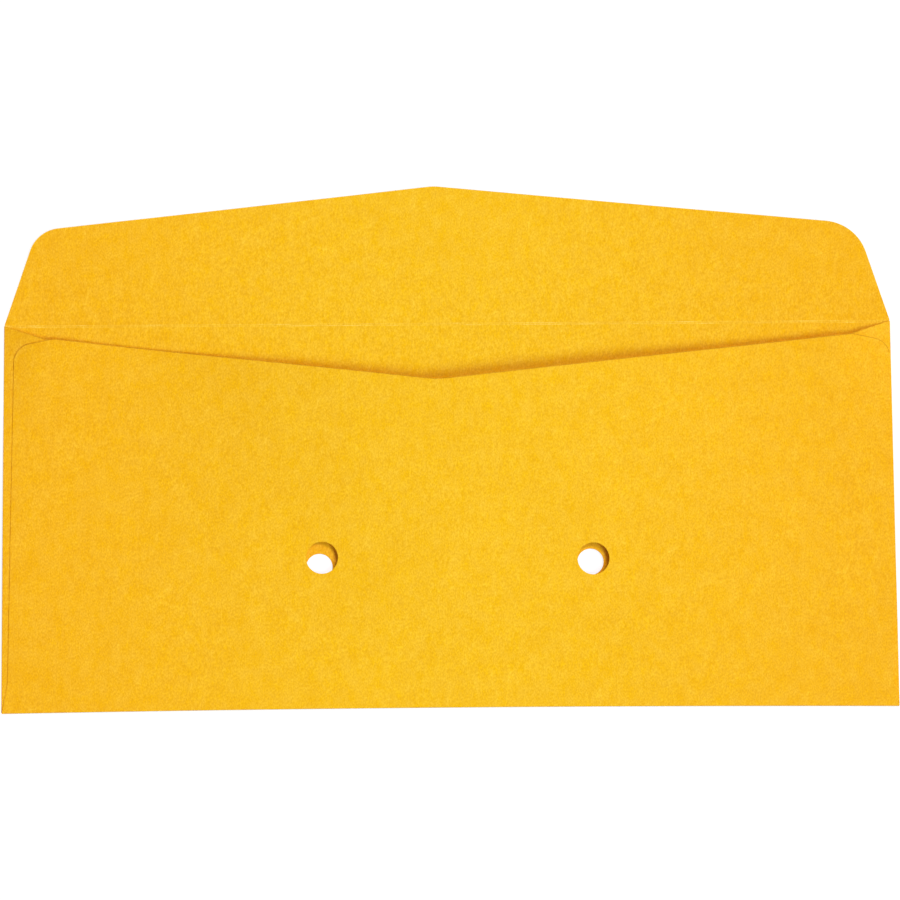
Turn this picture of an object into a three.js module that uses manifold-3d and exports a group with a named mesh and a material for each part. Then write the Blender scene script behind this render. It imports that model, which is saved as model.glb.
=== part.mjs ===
// A number 10 interoffice envelope of gold kraft paper, lying on its front with its flap open flat.
// It is one die-cut sheet, folded at both sides and along the bottom and held by two glue lines.
// Lengths are in millimetres. X runs along the long side, Y towards the flap and Z up.
// The origin is the centre of the front panel's outer face, which rests on the table.
import * as THREE from 'three';
import { mergeVertices } from 'three/addons/utils/BufferGeometryUtils.js';
import Module from 'manifold-3d';

const wasm = await Module();
wasm.setup();

// The folded sheet
const ENVELOPE_WIDTH = 241.3;
const ENVELOPE_HEIGHT = 104.775;
const PAPER_THICKNESS = 0.15;
const GLUE_THICKNESS = 0.05;
const FLAP_CREASE_WIDTH = 1.0;

// The seal flap, measured from the fold line and from its ends
const FLAP_DEPTH = 37.9;
const FLAP_POINT_OFFSET = -3.8;
const FLAP_POINT_RADIUS = 15;
const FLAP_LEFT_SHOULDER_HEIGHT = 26.2;
const FLAP_RIGHT_SHOULDER_HEIGHT = 26.9;
const FLAP_SHOULDER_INSET = 8.75;
const FLAP_LEFT_CORNER_RADIUS = 9;
const FLAP_RIGHT_CORNER_RADIUS = 12.5;

// The side flaps, folded in under the back panel
const SIDE_FLAP_WIDTH = 17.5;
const SIDE_FLAP_TOP_SLOPE = THREE.MathUtils.degToRad(18.8);
const SIDE_FLAP_BOTTOM_SLOPE = THREE.MathUtils.degToRad(14);
const SIDE_FLAP_CORNER_RADIUS = 3;
const SIDE_FLAP_TOP_CLEARANCE = 0.05;
const SIDE_FLAP_BOTTOM_CLEARANCE = 1.2;

// The back panel, folded up from the bottom edge and leaning a little to the right
const BACK_LEFT_MARGIN = 2.25;
const BACK_RIGHT_MARGIN = 0.8;
const BACK_LEAN = THREE.MathUtils.degToRad(0.7);
const BACK_CORNER_SLOPE = THREE.MathUtils.degToRad(11);
const BACK_CORNER_RADIUS = 5;
const BACK_FLARE_HEIGHT = 8;

// The throat, the shallow V along the back panel's top edge, with its shoulders measured from the
// envelope's sides
const THROAT_DEPTH = 15.7;
const THROAT_POINT_OFFSET = -3.2;
const THROAT_POINT_RADIUS = 24;
const THROAT_SHOULDER_DROP = 3.7;
const THROAT_LEFT_INSET = 13.45;
const THROAT_RIGHT_INSET = 10.45;
const THROAT_SHOULDER_RADIUS = 6;

// How far the back panel gapes above the glued margins, and how full its curve is on each side of the
// crest, which lies to the right of the middle
const GAPE_HEIGHT = 5;
const GAPE_CREST_OFFSET = 20;
const GAPE_LEFT_MARGIN = 30.65;
const GAPE_RIGHT_MARGIN = 12.65;
const GAPE_LEFT_FULLNESS = 1.3;
const GAPE_RIGHT_FULLNESS = 2;
const GAPE_RISE = 1.4;
const GAPE_BOTTOM_MARGIN = 2.5;
const GAPE_COLUMNS = 32;
const GAPE_ROWS = 18;

// Seam glue between each side flap and the back panel
const GLUE_WIDTH = 7;
const GLUE_FOLD_DISTANCE = 5.5;
const GLUE_TOP_MARGIN = 8.5;
const GLUE_BOTTOM_MARGIN = 7;

// Viewing holes: a pair through each panel, seen slightly out of register. The front pair is smaller.
const HOLE_SPACING = 73.2;
const BACK_HOLES = { diameter: 8.6, x: 2.0, height: 40.75, turn: THREE.MathUtils.degToRad(-0.6) };
const FRONT_HOLES = { diameter: 7.1, x: 1.25, height: 39.1, turn: THREE.MathUtils.degToRad(0.64) };

const CURVE_SEGMENTS = 14;
const CREASE_SEGMENTS = 8;

// Levels of the stack, from the table up
const HALF_WIDTH = ENVELOPE_WIDTH / 2;
const FOLD_Y = ENVELOPE_HEIGHT / 2;
const FRONT_TOP = PAPER_THICKNESS;
const SIDE_FLAP_TOP = 2 * PAPER_THICKNESS;
const BACK_UNDERSIDE = SIDE_FLAP_TOP + GLUE_THICKNESS;
const BACK_TOP = BACK_UNDERSIDE + PAPER_THICKNESS;
const PANEL_HALF_WIDTH = HALF_WIDTH - PAPER_THICKNESS;
const BOTTOM_FOLD_RADIUS = BACK_TOP / 2;
const PANEL_BOTTOM_Y = -FOLD_Y + BOTTOM_FOLD_RADIUS;
const GAPE_LEFT = -HALF_WIDTH + GAPE_LEFT_MARGIN;
const GAPE_RIGHT = HALF_WIDTH - GAPE_RIGHT_MARGIN;

const KRAFT_GOLD = 0xf7be25;
const GLUE_AMBER = 0xd9c28a;

function paperMaterial() {
  return new THREE.MeshStandardMaterial({ color: KRAFT_GOLD, roughness: 0.85, metalness: 0 });
}

function glueMaterial() {
  return new THREE.MeshStandardMaterial({ color: GLUE_AMBER, roughness: 0.5, metalness: 0 });
}

// A closed outline through corners { x, y, r }, each rounded by an arc of radius r
function roundedOutline(corners) {
  const outline = new THREE.Shape();
  corners.forEach((corner, i) => {
    const at = new THREE.Vector2(corner.x, corner.y);
    const before = corners[(i + corners.length - 1) % corners.length];
    const after = corners[(i + 1) % corners.length];
    const back = new THREE.Vector2(before.x, before.y).sub(at).normalize();
    const ahead = new THREE.Vector2(after.x, after.y).sub(at).normalize();
    const halfAngle = Math.acos(back.dot(ahead)) / 2;
    const radius = corner.r ?? 0;
    const start = at.clone().addScaledVector(back, radius / Math.tan(halfAngle));
    if (i === 0) {
      outline.moveTo(start.x, start.y);
    } else {
      outline.lineTo(start.x, start.y);
    }
    if (radius === 0) return;
    const inward = back.clone().add(ahead).normalize();
    const centre = at.clone().addScaledVector(inward, radius / Math.sin(halfAngle));
    const end = at.clone().addScaledVector(ahead, radius / Math.tan(halfAngle));
    const fromAngle = start.clone().sub(centre).angle();
    const toAngle = end.clone().sub(centre).angle();
    const turnsRight = back.cross(ahead) > 0;
    outline.absarc(centre.x, centre.y, radius, fromAngle, toAngle, turnsRight);
  });
  outline.closePath();
  return outline;
}

function viewingHoles({ diameter, x, height, turn }) {
  return [-1, 1].map((side) => {
    const along = side * HOLE_SPACING / 2;
    const hole = new THREE.Path();
    const holeX = x + along * Math.cos(turn);
    const holeY = height - FOLD_Y + along * Math.sin(turn);
    hole.absarc(holeX, holeY, diameter / 2, 0, 2 * Math.PI, true);
    return hole;
  });
}

// A flat piece of the sheet, or of the glue, from its outline
function flatPiece(name, outline, bottom, thickness, material) {
  const geometry = new THREE.ExtrudeGeometry(outline, {
    depth: thickness,
    bevelEnabled: false,
    curveSegments: CURVE_SEGMENTS,
  });
  const mesh = new THREE.Mesh(geometry, material);
  mesh.name = name;
  mesh.position.z = bottom;
  return mesh;
}

function rectangle(left, right, low, high) {
  return roundedOutline([
    { x: left, y: low },
    { x: right, y: low },
    { x: right, y: high },
    { x: left, y: high },
  ]);
}

function frontPanel() {
  const top = FOLD_Y - FLAP_CREASE_WIDTH / 2;
  const outline = rectangle(-PANEL_HALF_WIDTH, PANEL_HALF_WIDTH, PANEL_BOTTOM_Y, top);
  outline.holes.push(...viewingHoles(FRONT_HOLES));
  return flatPiece('front_panel', outline, 0, PAPER_THICKNESS, paperMaterial());
}

// side is -1 for the left and 1 for the right
function sideFlap(name, side) {
  const top = FOLD_Y - SIDE_FLAP_TOP_CLEARANCE;
  const bottom = PANEL_BOTTOM_Y + SIDE_FLAP_BOTTOM_CLEARANCE;
  const reach = SIDE_FLAP_WIDTH - PAPER_THICKNESS;
  const innerX = side * (PANEL_HALF_WIDTH - reach);
  const corners = [
    { x: side * PANEL_HALF_WIDTH, y: bottom },
    { x: side * PANEL_HALF_WIDTH, y: top },
    { x: innerX, y: top - reach * Math.tan(SIDE_FLAP_TOP_SLOPE), r: SIDE_FLAP_CORNER_RADIUS },
    { x: innerX, y: bottom + reach * Math.tan(SIDE_FLAP_BOTTOM_SLOPE), r: SIDE_FLAP_CORNER_RADIUS },
  ];
  if (side < 0) corners.reverse();
  return flatPiece(name, roundedOutline(corners), FRONT_TOP, PAPER_THICKNESS, paperMaterial());
}

// The paper that turns through half a circle where a side flap folds over the front panel
function sideFold(name, side) {
  const section = new THREE.Shape();
  section.absarc(0, 0, PAPER_THICKNESS, -Math.PI / 2, Math.PI / 2, false);
  section.closePath();
  const low = PANEL_BOTTOM_Y;
  const high = FOLD_Y - SIDE_FLAP_TOP_CLEARANCE;
  const geometry = new THREE.ExtrudeGeometry(section, {
    depth: high - low,
    bevelEnabled: false,
    curveSegments: CREASE_SEGMENTS / 2,
  });
  const mesh = new THREE.Mesh(geometry, paperMaterial());
  mesh.name = name;
  mesh.position.set(side * PANEL_HALF_WIDTH, side > 0 ? high : low, FRONT_TOP);
  mesh.rotation.set(side > 0 ? Math.PI / 2 : -Math.PI / 2, 0, side > 0 ? 0 : Math.PI);
  return mesh;
}

// The bottom fold is open inside, because the side flaps and glue hold the panels apart
function bottomFold() {
  const section = new THREE.Shape();
  section.absarc(0, 0, BOTTOM_FOLD_RADIUS, Math.PI / 2, 3 * Math.PI / 2, false);
  section.absarc(0, 0, BOTTOM_FOLD_RADIUS - PAPER_THICKNESS, 3 * Math.PI / 2, Math.PI / 2, true);
  section.closePath();
  const geometry = new THREE.ExtrudeGeometry(section, {
    depth: 2 * PANEL_HALF_WIDTH,
    bevelEnabled: false,
    curveSegments: CREASE_SEGMENTS / 2,
  });
  const mesh = new THREE.Mesh(geometry, paperMaterial());
  mesh.name = 'bottom_fold';
  mesh.position.set(-PANEL_HALF_WIDTH, PANEL_BOTTOM_Y, BOTTOM_FOLD_RADIUS);
  mesh.rotation.set(Math.PI / 2, Math.PI / 2, 0);
  return mesh;
}

function glueSeam(name, side) {
  const outer = side * (HALF_WIDTH - GLUE_FOLD_DISTANCE);
  const inner = outer - side * GLUE_WIDTH;
  const low = -FOLD_Y + GLUE_BOTTOM_MARGIN;
  const high = FOLD_Y - GLUE_TOP_MARGIN;
  const outline = rectangle(Math.min(inner, outer), Math.max(inner, outer), low, high);
  return flatPiece(name, outline, SIDE_FLAP_TOP, GLUE_THICKNESS, glueMaterial());
}

// Outline of the back panel as die-cut: flared at the bottom fold, leaning sides, rounded top
// corners and the throat's V
function backOutline() {
  const leanAt = (y) => y * Math.tan(BACK_LEAN);
  const flareTop = PANEL_BOTTOM_Y + BACK_FLARE_HEIGHT;
  const leftAt = (y) => -HALF_WIDTH + BACK_LEFT_MARGIN + leanAt(y);
  const rightAt = (y) => HALF_WIDTH - BACK_RIGHT_MARGIN + leanAt(y);
  const shoulderY = FOLD_Y - THROAT_SHOULDER_DROP;
  const leftShoulder = -HALF_WIDTH + THROAT_LEFT_INSET;
  const rightShoulder = HALF_WIDTH - THROAT_RIGHT_INSET;
  const cornerY = (edge, shoulder) => shoulderY - Math.abs(edge - shoulder) * Math.tan(BACK_CORNER_SLOPE);
  const leftCornerY = cornerY(leftAt(shoulderY), leftShoulder);
  const rightCornerY = cornerY(rightAt(shoulderY), rightShoulder);
  return roundedOutline([
    { x: -PANEL_HALF_WIDTH, y: PANEL_BOTTOM_Y },
    { x: PANEL_HALF_WIDTH, y: PANEL_BOTTOM_Y },
    { x: rightAt(flareTop), y: flareTop, r: BACK_CORNER_RADIUS },
    { x: rightAt(rightCornerY), y: rightCornerY, r: BACK_CORNER_RADIUS },
    { x: rightShoulder, y: shoulderY, r: THROAT_SHOULDER_RADIUS },
    { x: THROAT_POINT_OFFSET, y: FOLD_Y - THROAT_DEPTH, r: THROAT_POINT_RADIUS },
    { x: leftShoulder, y: shoulderY, r: THROAT_SHOULDER_RADIUS },
    { x: leftAt(leftCornerY), y: leftCornerY, r: BACK_CORNER_RADIUS },
    { x: leftAt(flareTop), y: flareTop, r: BACK_CORNER_RADIUS },
  ]);
}

// Height of the gape above the flat, glued margins: a crest that falls away to both sides and grows
// from the bottom fold to the throat
function gapeAt(x, y) {
  const aside = x - GAPE_CREST_OFFSET;
  const reach = (aside < 0 ? GAPE_LEFT : GAPE_RIGHT) - GAPE_CREST_OFFSET;
  const fullness = aside < 0 ? GAPE_LEFT_FULLNESS : GAPE_RIGHT_FULLNESS;
  const across = Math.min(aside / reach, 1) ** fullness;
  const start = -FOLD_Y + GAPE_BOTTOM_MARGIN;
  const up = Math.max((y - start) / (FOLD_Y - THROAT_DEPTH - start), 0);
  return GAPE_HEIGHT * Math.cos(across * Math.PI / 2) ** 2 * up ** GAPE_RISE;
}

function evenSteps(from, to, count) {
  return Array.from({ length: count + 1 }, (_, i) => THREE.MathUtils.lerp(from, to, i / count));
}

// A sheet of paper bent to the gape, larger than the back panel on every side
function gapingSlab() {
  const overhang = 2;
  const gapeStart = -FOLD_Y + GAPE_BOTTOM_MARGIN;
  const acrossGape = evenSteps(GAPE_LEFT, GAPE_RIGHT, GAPE_COLUMNS);
  const columns = [-HALF_WIDTH - overhang, ...acrossGape, HALF_WIDTH + overhang];
  const rows = [-FOLD_Y - overhang, ...evenSteps(gapeStart, FOLD_Y, GAPE_ROWS)];
  const positions = [BACK_UNDERSIDE, BACK_TOP].flatMap((lift) => (
    rows.flatMap((y) => columns.flatMap((x) => [x, y, lift + gapeAt(x, y)]))
  ));
  const wide = columns.length;
  const layer = wide * rows.length;
  const indices = [];
  const quad = (a, b, c, d) => indices.push(a, b, c, a, c, d);
  for (let j = 0; j < rows.length - 1; j += 1) {
    for (let i = 0; i < wide - 1; i += 1) {
      const a = j * wide + i;
      quad(a, a + wide, a + wide + 1, a + 1);
      quad(layer + a, layer + a + 1, layer + a + wide + 1, layer + a + wide);
    }
  }
  const last = layer - wide;
  for (let i = 0; i < wide - 1; i += 1) {
    quad(i, i + 1, layer + i + 1, layer + i);
    quad(last + i + 1, last + i, layer + last + i, layer + last + i + 1);
  }
  for (let a = 0; a < last; a += wide) {
    quad(a + wide, a, layer + a, layer + a + wide);
    const b = a + wide - 1;
    quad(b, b + wide, layer + b + wide, layer + b);
  }
  const geometry = new THREE.BufferGeometry();
  geometry.setAttribute('position', new THREE.Float32BufferAttribute(positions, 3));
  geometry.setIndex(indices);
  return geometry;
}

function toSolid(geometry) {
  const bare = new THREE.BufferGeometry();
  bare.setAttribute('position', geometry.getAttribute('position').clone());
  if (geometry.index) bare.setIndex(geometry.index.clone());
  const merged = mergeVertices(bare, 1e-5);
  return new wasm.Manifold(new wasm.Mesh({
    numProp: 3,
    vertProperties: new Float32Array(merged.getAttribute('position').array),
    triVerts: new Uint32Array(merged.index.array),
  }));
}

function toGeometry(solid) {
  const { vertProperties, triVerts } = solid.getMesh();
  const geometry = new THREE.BufferGeometry();
  geometry.setAttribute('position', new THREE.BufferAttribute(vertProperties, 3));
  geometry.setIndex(new THREE.BufferAttribute(triVerts, 1));
  const faceted = geometry.toNonIndexed();
  faceted.computeVertexNormals();
  return faceted;
}

function backPanel() {
  const outline = backOutline();
  outline.holes.push(...viewingHoles(BACK_HOLES));
  const cutterHeight = 2 * GAPE_HEIGHT + BACK_TOP;
  const cutter = new THREE.ExtrudeGeometry(outline, {
    depth: cutterHeight,
    bevelEnabled: false,
    curveSegments: CURVE_SEGMENTS,
  });
  const panel = toSolid(gapingSlab()).intersect(toSolid(cutter));
  const mesh = new THREE.Mesh(toGeometry(panel), paperMaterial());
  mesh.name = 'back_panel';
  return mesh;
}

// The scored line that the seal flap turns on
function flapFold() {
  const half = FLAP_CREASE_WIDTH / 2;
  const outline = rectangle(-PANEL_HALF_WIDTH, PANEL_HALF_WIDTH, FOLD_Y - half, FOLD_Y + half);
  return flatPiece('flap_fold', outline, 0, PAPER_THICKNESS, paperMaterial());
}

function sealFlap() {
  const base = FLAP_CREASE_WIDTH / 2;
  const baseX = (shoulderHeight) => HALF_WIDTH - base * FLAP_SHOULDER_INSET / shoulderHeight;
  const shoulderX = HALF_WIDTH - FLAP_SHOULDER_INSET;
  const outline = roundedOutline([
    { x: -baseX(FLAP_LEFT_SHOULDER_HEIGHT), y: base },
    { x: baseX(FLAP_RIGHT_SHOULDER_HEIGHT), y: base },
    { x: shoulderX, y: FLAP_RIGHT_SHOULDER_HEIGHT, r: FLAP_RIGHT_CORNER_RADIUS },
    { x: FLAP_POINT_OFFSET, y: FLAP_DEPTH, r: FLAP_POINT_RADIUS },
    { x: -shoulderX, y: FLAP_LEFT_SHOULDER_HEIGHT, r: FLAP_LEFT_CORNER_RADIUS },
  ]);
  return flatPiece('seal_flap', outline, 0, PAPER_THICKNESS, paperMaterial());
}

const envelope = new THREE.Group();
envelope.add(
  frontPanel(),
  backPanel(),
  sideFlap('left_side_flap', -1),
  sideFlap('right_side_flap', 1),
  sideFold('left_side_fold', -1),
  sideFold('right_side_fold', 1),
  bottomFold(),
  glueSeam('left_glue_seam', -1),
  glueSeam('right_glue_seam', 1),
  flapFold(),
);

const flap = new THREE.Group();
flap.position.y = FOLD_Y;
flap.add(sealFlap());
envelope.add(flap);

export default envelope;
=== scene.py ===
# %% [markdown]
# # An interoffice envelope in gold kraft paper
#
# The real envelope is one sheet of paper, cut to shape by a die, folded at both sides and along the bottom,
# and held by two lines of seam glue. It lies on its front with the flap open flat, and its back panel gapes
# a little at the throat. This lesson builds it the way a converter does: cut the blanks flat, then bend the
# paper.
#
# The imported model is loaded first. It fixes where every panel, fold and hinge lies, in metres, so each
# sheet made here only has to follow it.

# %% The frame
from math import ceil, cos, pi, radians, sin, tan

import bmesh
import bpy
from mathutils import Matrix, Vector


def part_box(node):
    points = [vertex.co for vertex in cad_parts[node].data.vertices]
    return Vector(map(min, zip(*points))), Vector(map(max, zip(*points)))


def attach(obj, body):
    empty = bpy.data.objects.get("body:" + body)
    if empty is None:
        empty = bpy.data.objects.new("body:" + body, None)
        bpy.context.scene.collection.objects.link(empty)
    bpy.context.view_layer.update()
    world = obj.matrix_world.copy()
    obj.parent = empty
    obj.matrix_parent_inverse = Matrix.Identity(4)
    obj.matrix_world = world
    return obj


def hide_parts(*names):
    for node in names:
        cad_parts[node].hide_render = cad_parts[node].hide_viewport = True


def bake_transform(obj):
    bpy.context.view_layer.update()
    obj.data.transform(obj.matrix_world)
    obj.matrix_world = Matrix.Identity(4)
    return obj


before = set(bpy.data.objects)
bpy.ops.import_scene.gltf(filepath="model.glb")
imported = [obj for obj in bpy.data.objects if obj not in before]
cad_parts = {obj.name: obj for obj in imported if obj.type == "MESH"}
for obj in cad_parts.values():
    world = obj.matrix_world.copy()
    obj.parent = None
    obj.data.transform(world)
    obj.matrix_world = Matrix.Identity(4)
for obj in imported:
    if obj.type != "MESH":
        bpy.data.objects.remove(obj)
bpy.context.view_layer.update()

# %% [markdown]
# ## Camera
#
# The photograph was taken from almost straight above with a long lens. The camera could be placed by hand
# and nudged until it looks right, but a rectangle of known size allows better: the four corners of the
# envelope's body, at 241.3 x 104.8 mm, leave only one camera that sees them where the picture has them. Its
# focal length, distance and three small turns are kept here as plain values.

# %% Camera
MM = 0.001
SENSOR_WIDTH = 36
FOCAL_LENGTH = 103.502
CAMERA_DISTANCE = 700.1 * MM
CAMERA_SHIFT_X = -0.017 * MM
CAMERA_SHIFT_Y = -17.691 * MM
CAMERA_TILT = radians(-5.396)
CAMERA_PAN = radians(0.866)
CAMERA_ROLL = radians(0.503)
CLIP_START = 10 * MM


def make_camera():
    """The photograph's camera, from where it saw the envelope's own frame."""
    camera = bpy.data.objects.new("camera", bpy.data.cameras.new("camera"))
    camera.data.sensor_width = SENSOR_WIDTH
    camera.data.lens = FOCAL_LENGTH
    camera.data.clip_start = CLIP_START
    turn = Matrix.Rotation(CAMERA_TILT, 4, "X")
    turn = turn @ Matrix.Rotation(CAMERA_PAN, 4, "Y")
    turn = turn @ Matrix.Rotation(CAMERA_ROLL, 4, "Z")
    world_to_camera = Matrix.Translation((CAMERA_SHIFT_X, CAMERA_SHIFT_Y, -CAMERA_DISTANCE)) @ turn
    camera.matrix_world = world_to_camera.inverted()
    bpy.context.scene.collection.objects.link(camera)
    bpy.context.scene.camera = camera
    return camera


camera = make_camera()
print("camera at", [round(value, 4) for value in camera.matrix_world.translation])

# %% [markdown]
# ## Measures
#
# A paper part is mostly a few levels in a thin stack. From the table up they are the front panel, the side
# flaps, the seam glue and the back panel. They come from the frame, so the sheets stay where the packed
# panels are. The rest are the cut sizes of the blank that a box can't tell: slopes, depths, corner radii and
# where the holes lie. Where one name holds a pair, the first value is for the left side and the second for
# the right.

# %% Measures
front_low, front_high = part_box("front_panel")
side_low, side_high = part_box("left_side_flap")
back_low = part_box("back_panel")[0]
crease_low, crease_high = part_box("flap_fold")
flap_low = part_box("seal_flap")[0]

HALF_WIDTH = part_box("right_side_fold")[1].x
PANEL_HALF_WIDTH = front_high.x
PANEL_BOTTOM = front_low.y
FOLD_Y = (crease_low.y + crease_high.y) / 2
PAPER = front_high.z - front_low.z
SIDE_FLAP_LEVEL = side_low.z
BACK_LEVEL = back_low.z
BACK_TOP = BACK_LEVEL + PAPER
BOTTOM_FOLD_RADIUS = BACK_TOP / 2
SEAL_FLAP_ROOT = flap_low.y - FOLD_Y

FLAP_DEPTH = 37.9 * MM
FLAP_POINT_X = -3.8 * MM
FLAP_POINT_RADIUS = 15 * MM
FLAP_SHOULDER_HEIGHTS = (26.2 * MM, 26.9 * MM)
FLAP_SHOULDER_INSET = 8.75 * MM
FLAP_CORNER_RADII = (9 * MM, 12.5 * MM)

SIDE_FLAP_BOTTOM_SLOPE = radians(14)
SIDE_FLAP_TOP_SLOPE = radians(18.8)
SIDE_FLAP_CORNER_RADIUS = 3 * MM

BACK_MARGINS = (2.25 * MM, 0.8 * MM)
BACK_LEAN = radians(0.7)
BACK_CORNER_SLOPE = radians(11)
BACK_CORNER_RADIUS = 5 * MM
BACK_FLARE_HEIGHT = 8 * MM

THROAT_DEPTH = 15.7 * MM
THROAT_POINT_X = -3.2 * MM
THROAT_POINT_RADIUS = 24 * MM
THROAT_SHOULDER_DROP = 3.7 * MM
THROAT_INSETS = (13.45 * MM, 10.45 * MM)
THROAT_SHOULDER_RADIUS = 6 * MM

HOLE_SPACING = 73.2 * MM
BACK_HOLES = {"radius": 4.3 * MM, "x": 2.0 * MM, "height": 40.75 * MM, "turn": radians(-0.6)}
FRONT_HOLES = {"radius": 3.55 * MM, "x": 1.25 * MM, "height": 39.1 * MM, "turn": radians(0.64)}

levels = (front_low.z, SIDE_FLAP_LEVEL, BACK_LEVEL, BACK_TOP)
print("stack in mm", [round(level / MM, 2) for level in levels])

# %% [markdown]
# ## Small helpers for node trees
#
# Both the materials and the bends are node trees, and a few helpers keep them short. One adds a node and
# feeds its inputs with numbers or with other nodes' outputs. Others do a step of arithmetic, multiply two
# colours, take a vector apart, or make a tree with named sockets.


# %% Node helpers
def add_node(tree, kind, feeds=None, **settings):
    """Adds a node, sets its properties and feeds its inputs, by name or number, with values or sockets."""
    node = tree.nodes.new(kind)
    for name, value in settings.items():
        setattr(node, name, value)
    for key, value in (feeds or {}).items():
        if isinstance(value, bpy.types.NodeSocket):
            tree.links.new(value, node.inputs[key])
        else:
            node.inputs[key].default_value = value
    return node


def arithmetic(tree, operation, *values):
    """One step of arithmetic, with numbers or sockets, and its result as a socket."""
    feeds = dict(enumerate(values))
    return add_node(tree, "ShaderNodeMath", feeds, operation=operation).outputs[0]


def positive(tree, value):
    """The value, or 0 where it is below 0."""
    return arithmetic(tree, "MAXIMUM", value, 0.0)


def multiplied(tree, a, b):
    """Two vectors or colours, multiplied part by part."""
    return add_node(tree, "ShaderNodeVectorMath", {0: a, 1: b}, operation="MULTIPLY").outputs[0]


def parts(tree, vector):
    """A vector's x, y and z, as sockets."""
    return add_node(tree, "ShaderNodeSeparateXYZ", {0: vector}).outputs


def new_tree(name, kind, inputs, outputs):
    """A node tree with named inputs {name: (socket type, value)} and outputs {name: socket type}."""
    tree = bpy.data.node_groups.new(name, kind)
    for socket_name, (socket_type, value) in inputs.items():
        socket = tree.interface.new_socket(socket_name, in_out="INPUT", socket_type=socket_type)
        if value is not None:
            socket.default_value = value
    for socket_name, socket_type in outputs.items():
        tree.interface.new_socket(socket_name, in_out="OUTPUT", socket_type=socket_type)
    given = add_node(tree, "NodeGroupInput").outputs
    result = add_node(tree, "NodeGroupOutput").inputs
    return tree, given, result


FLOAT = "NodeSocketFloat"
VECTOR = "NodeSocketVector"
GEOMETRY = "NodeSocketGeometry"
MATERIAL = "NodeSocketMaterial"

# %% [markdown]
# ## Kraft paper, as a shader group
#
# Gold kraft is dyed in the pulp, so its colour goes right through. Seen close, it has three scales. Clouds
# a few millimetres wide are where the pulp lay thicker. A fine grain, a little longer along the machine
# direction, is the fibre mat itself. And single pale fibres lie on top, bent and crossing. The dye took
# unevenly as well, so the gold is deeper in some blotches and paler in others. A photograph of paper could
# be used, but noise at those scales has no seams and stays sharp at any size. Each scale is a noise on
# object coordinates.


# %% Paper fibres
GRAIN_SIZE = 0.34 * MM
BLOTCH_SIZE = 2.6 * MM
CLOUD_SIZE = 5 * MM
GRAIN_STRETCH = (1, 0.6, 1)
DYE_CONTRAST = 3.5
FIBRE_LENGTH = 2.6 * MM
FIBRE_WIDTH = 0.22 * MM
FIBRE_TURNS = (radians(12), radians(71))
FIBRE_WAVES = 0.16
FIBRE_BEND = 0.6
FIBRE_CORE = 0.012
FIBRE_RELIEF = 0.35


def centred_noise(tree, vector, scale, detail, distortion=0.0, roughness=0.5):
    """Noise about zero. The scale is its number of waves in one unit of the vector."""
    feeds = {
        "Vector": vector,
        "Scale": scale,
        "Detail": detail,
        "Distortion": distortion,
        "Roughness": roughness,
    }
    noise = add_node(tree, "ShaderNodeTexNoise", feeds)
    return arithmetic(tree, "SUBTRACT", noise.outputs["Fac"], 0.5)


def fibre_lines(tree, vector, turn):
    """Thin, bent lines where a stretched noise passes its middle value: 1 on a fibre and 0 beside it."""
    feeds = {"Vector": vector, "Angle": turn}
    turned = add_node(tree, "ShaderNodeVectorRotate", feeds, rotation_type="Z_AXIS").outputs[0]
    stretched = multiplied(tree, turned, (1 / FIBRE_WIDTH, 1 / FIBRE_LENGTH, 1 / FIBRE_WIDTH))
    ridge = arithmetic(tree, "ABSOLUTE", centred_noise(tree, stretched, FIBRE_WAVES, 1.0, FIBRE_BEND))
    feeds = {"Value": ridge, "From Min": 0.0, "From Max": FIBRE_CORE, "To Min": 1.0, "To Max": 0.0}
    return add_node(tree, "ShaderNodeMapRange", feeds).outputs["Result"]


def make_kraft_fibres():
    """The group: how light the paper is, how deep its dye went, and its relief."""
    inputs = {
        "Vector": (VECTOR, None),
        "Grain": (FLOAT, 0.34),
        "Clouds": (FLOAT, 0.06),
        "Fibres": (FLOAT, 0.04),
    }
    outputs = {"Tone": FLOAT, "Dye": FLOAT, "Height": FLOAT}
    tree, given, result = new_tree("kraft_fibres", "ShaderNodeTree", inputs, outputs)
    along_grain = multiplied(tree, given["Vector"], GRAIN_STRETCH)
    grain = centred_noise(tree, along_grain, 1 / GRAIN_SIZE, 3.0)
    clouds = centred_noise(tree, given["Vector"], 1 / CLOUD_SIZE, 2.0)
    crossing = [fibre_lines(tree, given["Vector"], turn) for turn in FIBRE_TURNS]
    fibres = arithmetic(tree, "MAXIMUM", *crossing)
    tone = arithmetic(tree, "MULTIPLY_ADD", grain, given["Grain"], 1.0)
    tone = arithmetic(tree, "MULTIPLY_ADD", clouds, given["Clouds"], tone)
    tone = arithmetic(tree, "MULTIPLY_ADD", fibres, given["Fibres"], tone)
    tree.links.new(tone, result["Tone"])
    blotches = centred_noise(tree, along_grain, 1 / BLOTCH_SIZE, 4.0, roughness=0.85)
    tree.links.new(arithmetic(tree, "MULTIPLY_ADD", blotches, DYE_CONTRAST, 0.5), result["Dye"])
    tree.links.new(arithmetic(tree, "MULTIPLY_ADD", fibres, FIBRE_RELIEF, grain), result["Height"])
    return tree


kraft_fibres = make_kraft_fibres()
put_out = [item.name for item in kraft_fibres.interface.items_tree if item.in_out == "OUTPUT"]
print("group", kraft_fibres.name, "puts out", put_out)
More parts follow.
